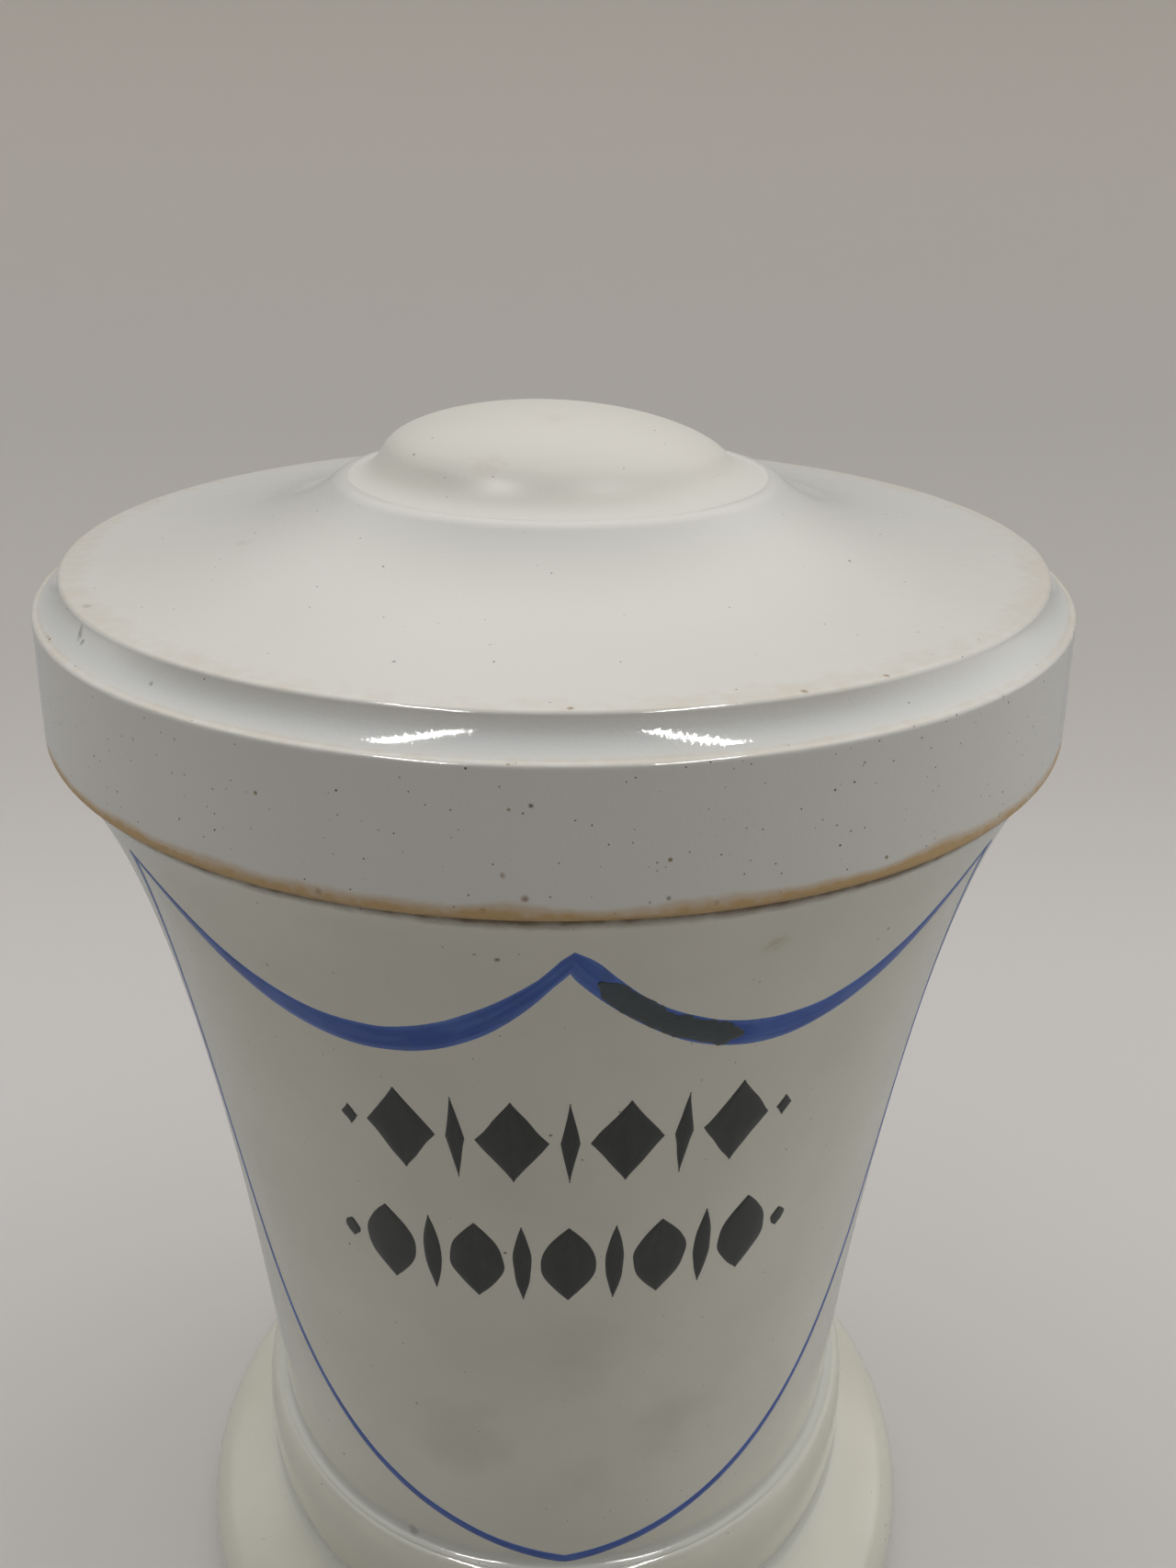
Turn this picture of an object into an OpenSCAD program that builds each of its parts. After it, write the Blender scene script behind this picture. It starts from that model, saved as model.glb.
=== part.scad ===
// Lidded porcelain jar for a pharmacy shelf, in millimetres, +Z up.
// The origin is the centre of the standing ring, on the shelf. -Y is the labelled front.
// Two pieces come apart on a bench: the jar, and the cap lid that drops over its neck.
// The jar is a turned body luted on to a hollow foot, and the lid is a turned cover with
// a knob luted on to its seat. The line, the retouched patch and the two label rows are
// layers of fired enamel, thin shells that follow the body and bite a little into the glaze.

/* [Body] */
// Height above the shelf of the shoulder, which the lid rests on
shoulder_h = 131.9; // [105:0.1:160]
// Outer radius of the shoulder
shoulder_r = 55; // [48:0.1:66]
// Outer radius of the body's lower end, where it meets the bead
waist_r = 39.2; // [32:0.1:48]
// How far the lower body leans out on its way up
body_lean = 2.2; // [0:0.1:4]
// Width of the flare under the shoulder
flare_w = 9; // [5:0.1:11]
// Height of the flare under the shoulder
flare_h = 13.4; // [8:0.1:24]
// Thickness of the body's wall, measured level
wall = 5; // [3:0.1:6.5]
// Thickness of the body's floor
floor_t = 6; // [3:0.1:9]
// Radius of the hollow between the floor and the wall
floor_round = 9; // [2:0.1:14]
// Thickness of the neck's wall
neck_t = 4.4; // [3:0.1:6]
// Radius of the round on the neck's rim
rim_round = 1.6; // [0.4:0.1:2]

/* [Foot] */
// Height of the foot with its bead, up to the joint with the body
foot_h = 31.4; // [26:0.1:40]
// Height of the bead
bead_h = 13.8; // [8:0.1:18]
// How far the bead stands out from the waist
bead_out = 2.8; // [1:0.1:4]
// Radius of the foot's widest line
foot_r = 51.8; // [48:0.1:64]
// Height of the foot's widest line above the shelf
foot_edge_h = 5.2; // [3:0.1:7]
// How far the foot's edge draws in from its widest line to the standing ring
foot_draw = 1.9; // [0.5:0.1:3]
// Width of the flat standing ring
ring_w = 5; // [3:0.1:7]
// Thickness of the foot's wall at the joint with the body
foot_t = 6; // [4:0.1:8]

/* [Lid] */
// Height of the lid's skirt, from its lower edge to the lower arris
skirt_h = 13.3; // [11:0.1:18]
// Thickness of the skirt at its lower edge
skirt_t = 4.6; // [3:0.1:6]
// How far the skirt's lower edge stands out over the shoulder
skirt_out = 0.6; // [0:0.1:2]
// How far the skirt draws in from its lower edge to the lower arris
skirt_draw = 0.6; // [0:0.1:2]
// Width of the cove between the two arrises
cove_w = 2.9; // [1.6:0.1:4]
// Height of the cove between the two arrises
cove_h = 3.1; // [1.6:0.1:5]
// Depth of the cove behind a straight line between the two arrises
cove_sag = 0.35; // [0.1:0.05:0.6]
// Radius of the round on the lower arris
low_arris = 0.8; // [0.3:0.1:1.2]
// Radius of the round on the upper arris
top_arris = 0.5; // [0.2:0.1:1]
// Thickness of the lid's plate
plate_t = 4.5; // [3:0.1:6]
// Rise of the dished plate from the upper arris to the knob's seat
plate_rise = 7.2; // [3:0.1:10]
// Radius of the knob's seat
seat_r = 23.6; // [19.5:0.1:30]

/* [Knob] */
// How far the knob's base stays inside its seat
knob_margin = 1; // [0.4:0.1:1.2]
// Radius of the dome where it leaves the base
dome_r = 18.2; // [12:0.1:20]
// Height of the base under the dome
knob_base_h = 2.7; // [1.5:0.1:4]
// Height of the dome
dome_h = 4.15; // [2:0.05:14]

/* [Fits] */
// Gap between the neck and the lid's skirt, all round
lid_gap = 0.7; // [0.3:0.05:1.4]
// Gap between the neck's rim and the lid's plate
rim_gap = 1.9; // [0.8:0.1:3]

/* [Enamel] */
// How far an enamel layer stands proud of the glaze
enamel_t = 0.15; // [0.1:0.01:0.3]
// How deep an enamel layer bites into the glaze
enamel_bite = 0.1; // [0.06:0.01:0.2]
// How far the shield is turned from the front, anticlockwise from above, in degrees
shield_turn = 1.5; // [-10:0.1:10]
// Half the angle that the shield's top spans, in degrees
shield_half = 52; // [40:0.5:60]
// Drop of the shield's top corners below the shoulder
corner_drop = 5.8; // [4:0.1:12]
// Drop of the middle cusp below the shoulder
cusp_drop = 5.4; // [4:0.1:12]
// How far the two swags hang below the cusp
swag_sag = 12.3; // [6:0.1:18]
// Gap between the shield's lower point and the bead
point_gap = 1.2; // [1:0.1:4]
// Width of the brushed line at its thinnest, down the sides
line_thin = 0.9; // [0.6:0.05:1.6]
// Width of the brushed line at its thickest, under the swags
line_thick = 3.3; // [1.6:0.05:4]
// Width of the retouched patch on the right swag
patch_w = 3.6; // [2.6:0.1:5]
// Height of the motifs in the label rows
motif_h = 11; // [7:0.1:13]
// Drop of the upper row's middle below the shoulder
upper_drop = 29.7; // [24:0.1:34]
// Drop of the lower row's middle below the shoulder
lower_drop = 47.4; // [44:0.1:56]

/* [Hidden] */
$fn = 144;
CURVE_STEPS = 20;
ROUND_STEPS = 6;
SWAG_STEPS = 14;
SIDE_STEPS = 26;
MOTIF_STEPS = 8;

// The lid's skirt drops over the neck, and the shoulder carries it.
skirt_r = shoulder_r + skirt_out;
skirt_in = skirt_r - skirt_t;
arris_r = skirt_r - skirt_draw;
plate_r = arris_r - cove_w;
arris_z = shoulder_h + skirt_h;
plate_z = arris_z + cove_h;
ceiling_z = plate_z - plate_t;
seat_z = plate_z + plate_rise;
neck_r = skirt_in - lid_gap;
neck_in = neck_r - neck_t;
neck_top = ceiling_z - rim_gap;
floor_z = foot_h + floor_t;
ring_r = foot_r - foot_draw;
knob_base_r = seat_r - knob_margin;

// A point on a cubic curve through p[0] and p[3], pulled towards p[1] and p[2].
function curve_at(p, t) =
    pow(1 - t, 3) * p[0] + 3 * t * pow(1 - t, 2) * p[1]
    + 3 * t * t * (1 - t) * p[2] + pow(t, 3) * p[3];
function curve(p, steps) = [for (i = [0:steps]) curve_at(p, i / steps)];
// Part of an ellipse about c, from angle a to angle b.
function ellipse_arc(c, rx, rz, a, b) =
    [for (i = [0:ROUND_STEPS])
        let (t = a + (b - a) * i / ROUND_STEPS) c + [rx * cos(t), rz * sin(t)]];

// The body's outside, from the bead up to the shoulder: nearly straight, then flaring.
body_side = curve([
    [waist_r, foot_h],
    [waist_r + body_lean, foot_h + 0.41 * (shoulder_h - foot_h)],
    [shoulder_r - flare_w, shoulder_h - flare_h],
    [shoulder_r, shoulder_h]], CURVE_STEPS);
body_heights = [for (p = body_side) [p[1], p[0]]];
function body_r(z) = lookup(z, body_heights);
// The inside follows the outside, a wall's thickness in, until it meets the neck.
inner_side = [for (p = body_side)
    if (p[1] > floor_z + floor_round && p[0] - wall < neck_in) [p[0] - wall, p[1]]];
inner_low_r = body_r(floor_z + floor_round) - wall;
lip_z = neck_top - rim_round;

module jar_body() {
    color("whitesmoke")
        rotate_extrude()
            polygon(concat(
                [[0, foot_h]],
                body_side,
                [[neck_r, shoulder_h]],
                ellipse_arc([neck_r - rim_round, lip_z], rim_round, rim_round, 0, 90),
                ellipse_arc([neck_in + rim_round, lip_z], rim_round, rim_round, 90, 180),
                [for (i = [len(inner_side) - 1:-1:0]) inner_side[i]],
                ellipse_arc([inner_low_r - floor_round, floor_z + floor_round],
                    floor_round, floor_round, 0, -90),
                [[0, floor_z]]));
}

// The bead is a full moulding, flatter than half round. A bell spreads from under it to
// the widest line.
BEAD_TURN = 150;
bead_side = [for (i = [0:CURVE_STEPS])
    let (t = BEAD_TURN * pow(i / CURVE_STEPS, 1.5))
        [waist_r + bead_out * sqrt(sin(t)), foot_h - bead_h * (1 - cos(t)) / 2]];
bead_end = bead_side[len(bead_side) - 1];
bell_h = bead_end[1] - foot_edge_h;
bell_w = foot_r - bead_end[0];
bell_side = curve([
    bead_end,
    bead_end + [0.24 * bell_w, -0.31 * bell_h],
    [foot_r, foot_edge_h + 0.62 * bell_h],
    [foot_r, foot_edge_h]], CURVE_STEPS / 2);
hollow_r = ring_r - ring_w;
hollow_top_r = waist_r - foot_t;
hollow_side = curve([
    [hollow_r, 0],
    [hollow_r, 0.37 * foot_h],
    [hollow_top_r + 0.14 * (hollow_r - hollow_top_r), 0.43 * foot_h],
    [hollow_top_r, foot_h]], CURVE_STEPS / 2);

module jar_foot() {
    color("whitesmoke")
        rotate_extrude()
            polygon(concat(
                bead_side,
                [for (i = [1:len(bell_side) - 1]) bell_side[i]],
                [for (i = [1:ROUND_STEPS])
                    let (t = 90 * i / ROUND_STEPS)
                        [foot_r - foot_draw * (1 - cos(t)), foot_edge_h * (1 - sin(t))]],
                hollow_side));
}

// The plate is dished: nearly level at the rim, and steeper towards the knob's seat.
plate_top = curve([
    [seat_r, seat_z],
    [seat_r + 0.19 * (plate_r - seat_r), plate_z + 0.35 * plate_rise],
    [seat_r + 0.44 * (plate_r - seat_r), plate_z + 0.11 * plate_rise],
    [plate_r - top_arris, plate_z]], CURVE_STEPS);
ceiling_round = 3;
// The cove is a shallow hollow that runs from one arris's round to the other's.
PLATE_TILT = 80;
COVE_TOP_TILT = 22;
COVE_FOOT_TILT = 60;
top_round = ellipse_arc([plate_r - top_arris, plate_z - top_arris],
    top_arris, top_arris, PLATE_TILT, COVE_TOP_TILT);
low_round = ellipse_arc([arris_r - low_arris, arris_z - low_arris],
    low_arris, low_arris, COVE_FOOT_TILT, 0);
cove_top = top_round[ROUND_STEPS];
cove_chord = low_round[0] - cove_top;
cove_in = [cove_chord[1], -cove_chord[0]] / norm(cove_chord);
cove = [for (i = [1:ROUND_STEPS - 1])
    let (t = i / ROUND_STEPS) cove_top + t * cove_chord + 4 * cove_sag * t * (1 - t) * cove_in];

module lid_cover() {
    color("whitesmoke")
        rotate_extrude()
            polygon(concat(
                [[0, seat_z - plate_t], [0, seat_z]],
                plate_top,
                top_round,
                cove,
                low_round,
                [[skirt_r, shoulder_h], [skirt_in, shoulder_h]],
                ellipse_arc([skirt_in - ceiling_round, ceiling_z - ceiling_round],
                    ceiling_round, ceiling_round, 0, 90),
                [[0.7 * skirt_in, ceiling_z + 0.16 * plate_rise],
                 [seat_r, seat_z - plate_t]]));
}

module lid_knob() {
    color("whitesmoke")
        rotate_extrude()
            polygon(concat(
                [[0, seat_z], [knob_base_r, seat_z]],
                curve([
                    [knob_base_r, seat_z + 0.1 * knob_base_h],
                    [knob_base_r - 0.5 * (knob_base_r - dome_r), seat_z + 0.15 * knob_base_h],
                    [dome_r + 0.3 * (knob_base_r - dome_r), seat_z + 0.5 * knob_base_h],
                    [dome_r, seat_z + knob_base_h]], ROUND_STEPS),
                [for (i = [1:CURVE_STEPS - 1]) curve_at([
                    [dome_r, seat_z + knob_base_h],
                    [0.84 * dome_r, seat_z + knob_base_h + 0.63 * dome_h],
                    [0.38 * dome_r, seat_z + knob_base_h + dome_h],
                    [0, seat_z + knob_base_h + dome_h]], i / CURVE_STEPS)],
                [[0, seat_z + knob_base_h + dome_h]]));
}

// Enamel is laid out on the body's own surface. A place there is [angle, height], with the
// angle from the front in degrees, and a width is measured along the surface.
function mm_per_degree(z) = body_r(z) * PI / 180;
function on_body(place, depth) =
    let (r = body_r(place[1]) + depth, a = place[0] + shield_turn)
        [r * sin(a), -r * cos(a), place[1]];
// The direction from place a to place b, as a unit vector along the surface.
function heading(a, b) =
    let (d = [(b[0] - a[0]) * mm_per_degree(a[1]), b[1] - a[1]]) d / norm(d);
// The place that lies w to the left of p, where the line turns from heading a to heading b.
function beside(p, a, b, w) =
    let (m = (a + b) / norm(a + b), reach = w / (m * a))
        [p[0] - reach * m[1] / mm_per_degree(p[1]), p[1] + reach * m[0]];
// Six points round the band: three on its outside, and three bitten into the glaze.
function band_ring(p, a, b, half, proud) =
    let (left = beside(p, a, b, half), right = beside(p, a, b, -half))
        [on_body(left, proud), on_body(p, proud), on_body(right, proud),
         on_body(right, -enamel_bite), on_body(p, -enamel_bite), on_body(left, -enamel_bite)];
RING = 6;
function ring_quads(i, j) =
    [for (k = [0:RING - 1]) each
        [[RING * i + k, RING * i + (k + 1) % RING, RING * j + (k + 1) % RING],
         [RING * i + k, RING * j + (k + 1) % RING, RING * j + k]]];

// A band of enamel along places, with its half width at each. A closed one joins its ends.
module band(places, halves, proud, closed = false) {
    n = len(places);
    function next(i) = closed ? places[(i + 1) % n] : places[min(i + 1, n - 1)];
    function last(i) = closed ? places[(i + n - 1) % n] : places[max(i - 1, 0)];
    into = [for (i = [0:n - 1])
        i == 0 && !closed ? heading(places[0], next(0)) : heading(last(i), places[i])];
    out = [for (i = [0:n - 1])
        i == n - 1 && !closed ? heading(last(i), places[i]) : heading(places[i], next(i))];
    rings = [for (i = [0:n - 1]) band_ring(places[i], into[i], out[i], halves[i], proud)];
    points = [for (ring = rings) each ring];
    sides = [for (i = [0:n - (closed ? 1 : 2)]) each ring_quads(i, (i + 1) % n)];
    first_cap = [[0, 5, 4], [0, 4, 1], [1, 4, 3], [1, 3, 2]];
    e = RING * (n - 1);
    last_cap = [for (f = first_cap) [e + f[0], e + f[2], e + f[1]]];
    polyhedron(points, closed ? sides : concat(sides, first_cap, last_cap));
}

// The right half of the shield. The left half mirrors it about the shield's middle.
cusp = [0, shoulder_h - cusp_drop];
corner = [shield_half, shoulder_h - corner_drop];
low_point = [0, foot_h + point_gap];
side_drop = corner[1] - low_point[1];
swag = curve([
    cusp,
    [0.21 * shield_half, cusp[1] - 1.17 * swag_sag],
    [0.58 * shield_half, cusp[1] - 1.5 * swag_sag],
    corner], SWAG_STEPS);
side = curve([
    corner,
    [1.38 * shield_half, corner[1] - 0.39 * side_drop],
    [1.29 * shield_half, corner[1] - 0.88 * side_drop],
    low_point], SIDE_STEPS);
right_half = concat(swag, [for (i = [1:SIDE_STEPS]) side[i]]);
half_count = len(right_half);
// The brush presses hardest under the swag, and lifts towards the corner.
function swag_half(t) =
    (line_thin + (line_thick - line_thin) * pow(sin(180 * pow(t, 0.8)), 1.2)) / 2;
function side_half(t) = line_thin * (1 + 0.55 * pow(t, 3)) / 2;
right_widths = concat(
    [for (i = [0:SWAG_STEPS]) max(swag_half(i / SWAG_STEPS), line_thin * (1 - i / SWAG_STEPS))],
    [for (i = [1:SIDE_STEPS]) side_half(i / SIDE_STEPS)]);

left_half = [for (i = [half_count - 2:-1:1]) [-right_half[i][0], right_half[i][1]]];
left_widths = [for (i = [half_count - 2:-1:1]) right_widths[i]];

module cartouche_line() {
    color("royalblue")
        band(concat(right_half, left_half), concat(right_widths, left_widths),
            enamel_t, closed = true);
}

// A dark patch brushed over the worn start of the right swag.
PATCH_FROM = 2;
PATCH_TO = 7;

module cartouche_retouch() {
    color("darkslategray")
        band(
            [for (i = [PATCH_FROM:PATCH_TO]) swag[i]],
            [for (i = [PATCH_FROM:PATCH_TO])
                (i == PATCH_FROM || i == PATCH_TO ? 0.6 : 1) * patch_w / 2],
            2 * enamel_t);
}

// A motif is an upright stroke, widest at its waist and pointed above and below: at edge 1 its
// sides are straight, as on a lozenge, and above 1 they bulge, as on a leaf.
module motif(angle, z, w, h, edge) {
    band(
        [for (i = [0:MOTIF_STEPS]) [angle, z + h * (i / MOTIF_STEPS - 0.5)]],
        [for (i = [0:MOTIF_STEPS])
            w * max(0.06, 1 - pow(abs(2 * i / MOTIF_STEPS - 1), edge)) / 2],
        enamel_t);
}

// A row of wide motifs with a slim one between each two, and a small one at each end.
module label_row(z, count, wide, slim, gap, edge) {
    pitch = (wide + slim + 2 * gap) / mm_per_degree(z);
    start = -pitch * (count - 1) / 2;
    for (i = [0:count - 1]) motif(start + i * pitch, z, wide, motif_h, edge);
    for (i = [0:count - 2]) motif(start + (i + 0.5) * pitch, z, slim, motif_h, edge);
    for (side = [-1, 1]) motif(side * (pitch * count / 2), z, slim, motif_h / 4, edge);
}

module label_row_upper() {
    color("darkslategray")
        label_row(shoulder_h - upper_drop, count = 4, wide = 7.6, slim = 2, gap = 0.7, edge = 1);
}

module label_row_lower() {
    color("darkslategray")
        label_row(shoulder_h - lower_drop, count = 5, wide = 6, slim = 2, gap = 0.7, edge = 2);
}

jar_body();
jar_foot();
lid_cover();
lid_knob();
cartouche_line();
cartouche_retouch();
label_row_upper();
label_row_lower();
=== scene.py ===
# %% [markdown]
# # A lidded porcelain jar for a pharmacy shelf
#
# The real jar is hard-paste porcelain. A potter turned its body, foot, lid and knob, luted the
# foot to the body and the knob to the lid while the clay was stiff, and dipped both in a clear
# glaze. A painter then brushed a blue shield line and a black label on the glaze, and fired them on.
#
# A turned pot is a solid of revolution, so each of the four clay pieces is one outline carried
# round the axis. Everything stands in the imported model's frame: metres, +Z up, the origin at the
# middle of the standing ring and -Y towards the labelled front.

# %% Load the frame
import math
import bpy
from mathutils import Matrix, Vector, noise


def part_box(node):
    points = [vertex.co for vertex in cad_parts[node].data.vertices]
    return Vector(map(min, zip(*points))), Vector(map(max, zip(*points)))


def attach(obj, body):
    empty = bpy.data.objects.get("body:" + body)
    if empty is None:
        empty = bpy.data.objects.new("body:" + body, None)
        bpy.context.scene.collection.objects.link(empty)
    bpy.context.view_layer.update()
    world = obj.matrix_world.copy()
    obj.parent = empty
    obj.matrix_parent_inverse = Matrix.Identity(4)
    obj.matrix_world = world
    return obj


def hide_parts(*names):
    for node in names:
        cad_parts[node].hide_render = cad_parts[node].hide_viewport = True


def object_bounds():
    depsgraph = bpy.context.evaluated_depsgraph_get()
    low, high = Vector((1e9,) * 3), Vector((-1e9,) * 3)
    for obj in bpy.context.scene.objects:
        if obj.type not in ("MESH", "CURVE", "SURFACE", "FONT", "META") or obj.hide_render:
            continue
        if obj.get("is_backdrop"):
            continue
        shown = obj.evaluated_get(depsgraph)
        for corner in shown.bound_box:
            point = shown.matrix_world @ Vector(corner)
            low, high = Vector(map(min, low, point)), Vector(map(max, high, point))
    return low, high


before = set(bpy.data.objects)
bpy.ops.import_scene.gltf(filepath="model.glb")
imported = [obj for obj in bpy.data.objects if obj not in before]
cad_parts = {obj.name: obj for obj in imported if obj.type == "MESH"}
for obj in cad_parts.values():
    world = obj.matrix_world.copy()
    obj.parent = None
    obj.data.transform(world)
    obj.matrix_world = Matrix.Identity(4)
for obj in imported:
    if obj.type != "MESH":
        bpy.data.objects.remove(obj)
cad_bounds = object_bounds()
MM = 0.001

body_low, body_high = [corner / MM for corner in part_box("jar_body")]
cover_low, cover_high = [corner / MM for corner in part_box("lid_cover")]
foot_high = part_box("jar_foot")[1] / MM
knob_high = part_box("lid_knob")[1] / MM
print(f"the frame is {(cad_bounds[1] - cad_bounds[0]).z / MM:.1f} mm high")

# %% [markdown]
# ## Sizes
#
# A potter keeps a few sizes on a profile stick: heights of the foot and shoulder, and the widths
# there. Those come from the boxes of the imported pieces. The small ones, such as walls, rounds and
# gaps, are named here once, in millimetres, and every outline below is worked out from them.

# %% Sizes in millimetres
foot_top = body_low.z
neck_top = body_high.z
shoulder_r = body_high.x
shoulder_z = cover_low.z
skirt_r = cover_high.x
seat_z = cover_high.z
foot_r = foot_high.x
knob_r = knob_high.x
knob_top = knob_high.z

waist_r = 39.2
body_lean = 2.2
flare_w = 9.0
flare_h = 13.4
wall = 5.0
floor_t = 6.0
floor_round = 9.0

skirt_t = 4.6
lid_gap = 0.7
neck_t = 4.4
neck_r = skirt_r - skirt_t - lid_gap
neck_in = neck_r - neck_t

bead_h = 13.8
bead_out = 2.8
foot_edge_h = 5.2
foot_draw = 1.9
ring_w = 5.0
foot_t = 6.0

skirt_draw = 0.6
arris_r = skirt_r - skirt_draw
arris_z = shoulder_z + 13.3
cove_w = 2.9
cove_h = 3.1
cove_sag = 0.35
plate_r = arris_r - cove_w
plate_z = arris_z + cove_h
plate_t = 4.5
seat_r = knob_r + 1.0

knob_base_h = 2.7
dome_r = 18.2
print(f"shoulder {shoulder_r:.1f} mm, waist {waist_r} mm, plate {plate_r:.1f} mm in radius")

# %% [markdown]
# ## Outlines
#
# An outline is a list of places (radius, height). Long sweeps are cubic curves, as a potter's rib
# leaves them. Corners are drawn sharp and then softened, because glaze and a wet sponge round
# every edge: `soften` cuts a corner off and puts a small curve in its place.

# %% Curves and softened corners
def cubic(p, steps, t_from=0.0, t_to=1.0):
    """Points along the cubic curve from p[0] to p[3], pulled towards p[1] and p[2]."""
    points = []
    for i in range(steps + 1):
        t = t_from + (t_to - t_from) * i / steps
        weights = ((1 - t) ** 3, 3 * t * (1 - t) ** 2, 3 * t * t * (1 - t), t ** 3)
        points.append(tuple(sum(w * q[k] for w, q in zip(weights, p)) for k in (0, 1)))
    return points


def mix(a, b, t):
    """The place t of the way from a to b."""
    return tuple(x + (y - x) * t for x, y in zip(a, b))


def walk(line, start, step, reach):
    """Goes reach mm along the line from a corner. Returns the place, and the next point's index."""
    i = start
    left = reach
    while 0 < i + step < len(line) - 1 and math.dist(line[i], line[i + step]) < left:
        left -= math.dist(line[i], line[i + step])
        i += step
    span = math.dist(line[i], line[i + step])
    return mix(line[i], line[i + step], min(left / span, 0.999)), i + step


def soften(line, corner, reach, steps=8):
    """Puts a small curve in a corner's place, from reach mm before it to reach mm after it."""
    at = min(range(len(line)), key=lambda i: math.dist(line[i], corner))
    before, low = walk(line, at, -1, reach)
    after, high = walk(line, at, 1, reach)
    bend = []
    for i in range(steps + 1):
        t = i / steps
        bend.append(mix(mix(before, line[at], t), mix(line[at], after, t), t))
    return line[:low + 1] + bend + line[high:]


# %% [markdown]
# ## Hand turning
#
# No turned pot is true. The wheel leaves long, shallow waves, and the kiln pulls the round a few
# hundredths of a millimetre out. `wander` is that error, and every piece and every line of enamel
# on a body uses the same one, so that what is painted on follows the clay.

# %% The waves that turning and firing leave
def wander(angle, height, size=0.09, seed=0.0):
    """How far the wall stands out from true at an angle in radians and a height in mm."""
    round_error = math.sin(2 * angle + 0.7 + seed) + 0.45 * math.sin(3 * angle + height / 31 + seed)
    lump = noise.noise(Vector((2.2 * math.sin(angle), 2.2 * math.cos(angle), height / 34 + seed)))
    return size * (0.5 * round_error + 0.8 * lump)


def jar_wander(angle, height):
    return wander(angle, height)


def lid_wander(angle, height):
    return wander(angle, height, size=0.06, seed=4.0)


# %% [markdown]
# ## Turning an outline into a mesh
#
# The outline is repeated round the axis, and neighbours are joined by four-sided faces. Where it
# touches the axis, the ring shrinks to one point. The mesh is closed, so it is a real solid with
# an inside, and no modifier is left on it.

# %% Turn a piece
SEGMENTS = 320


def on_axis(place):
    return place[0] < 1e-6


def turned(name, outline, waves, closed=False, lean=None):
    """A solid of revolution. waves moves a wall in or out, and lean lifts or sinks a point."""
    points = []
    rows = []
    for radius, height in outline:
        count = 1 if on_axis((radius, height)) else SEGMENTS
        rows.append(list(range(len(points), len(points) + count)))
        for k in range(count):
            angle = 2 * math.pi * k / count
            r = radius + (waves(angle, height) * min(1, radius / 20) if count > 1 else 0)
            x, y = r * math.sin(angle), -r * math.cos(angle)
            z = height + (lean(x, height) if lean else 0)
            points.append((x * MM, y * MM, z * MM))
    faces = []
    pairs = list(zip(rows, rows[1:])) + ([(rows[-1], rows[0])] if closed else [])
    for low, high in pairs:
        for k in range(SEGMENTS):
            corners = (low[k % len(low)], low[(k + 1) % len(low)],
                       high[(k + 1) % len(high)], high[k % len(high)])
            faces.append(tuple(dict.fromkeys(corners)))
    mesh = bpy.data.meshes.new(name)
    mesh.from_pydata(points, [], faces)
    mesh.validate()
    mesh.shade_smooth()
    piece = bpy.data.objects.new(name, mesh)
    bpy.context.scene.collection.objects.link(piece)
    print(f"{name}: {len(points)} points, {len(faces)} faces")
    return piece


# %% [markdown]
# ## Masks on the clay
#
# Glaze runs thick in hollows and thin on edges, and a bare edge takes up grime. On the jar's body, the
# shade under the lid's rim is painted on as well. Each of these is a number on the mesh's points
# between 0 and 1, worked out from where the point is, and the materials read it by name.

# %% Paint a mask on a piece
def smooth(a, b, x):
    """0 below a, 1 above b and an even ease between them; a may also be above b."""
    t = max(0.0, min(1.0, (x - a) / (b - a)))
    return t * t * (3 - 2 * t)


def hill(centre, width, x):
    """1 at the centre, easing to 0 at width to either side."""
    return 1 - smooth(0, width, abs(x - centre))


def paint(piece, name, rule):
    """Stores rule(angle, radius, height) on each point, in radians from the front and in mm."""
    layer = piece.data.attributes.new(name, "FLOAT", "POINT")
    values = []
    for vertex in piece.data.vertices:
        x, y, z = vertex.co / MM
        values.append(rule(math.atan2(x, -y), math.hypot(x, y), z))
    layer.data.foreach_set("value", values)


# %% [markdown]
# ## The jar's body
#
# The body is one thrown bowl: nearly straight from the waist, then flaring to the shoulder that
# carries the lid. An inset neck rises inside the lid's skirt. Its lower end spreads into a small
# fillet on the foot's bead, where slip and glaze fill the joint.

# %% Body outline
body_curve = [
    (waist_r, foot_top),
    (waist_r + body_lean, foot_top + 0.41 * (shoulder_z - foot_top)),
    (shoulder_r - flare_w, shoulder_z - flare_h),
    (shoulder_r, shoulder_z)]
body_side = cubic(body_curve, 96)


def body_r(height):
    """The body's true radius at a height, before hand turning moves it."""
    for low, high in zip(body_side, body_side[1:]):
        if height <= high[1]:
            return low[0] + (high[0] - low[0]) * (height - low[1]) / (high[1] - low[1])
    return body_side[-1][0]


joint_fillet = 1.1
body_foot = (waist_r + joint_fillet, foot_top)
body_corner = (body_r(foot_top + 0.02), foot_top + 0.02)
shoulder = (shoulder_r, shoulder_z)
neck_foot = (neck_r, shoulder_z)
rim_out = (neck_r, neck_top)
rim_in = (neck_in, neck_top)
floor_z = foot_top + floor_t
inner_side = [(r - wall, z) for r, z in body_side
              if z > floor_z + floor_round and r - wall < neck_in]
floor_corner = (body_r(floor_z) - wall, floor_z)
body_line = ([(0, foot_top), (0.5 * waist_r, foot_top), body_foot, body_corner]
             + [p for p in body_side if p[1] > foot_top + 0.1]
             + [neck_foot, rim_out, rim_in, (neck_in, inner_side[-1][1] + 0.3)]
             + inner_side[::-1] + [floor_corner, (0.4 * waist_r, floor_z), (0, floor_z)])
body_line = soften(body_line, body_corner, joint_fillet * 0.98, 10)
body_line = soften(body_line, shoulder, 1.2)
body_line = soften(body_line, neck_foot, 0.6)
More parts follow.
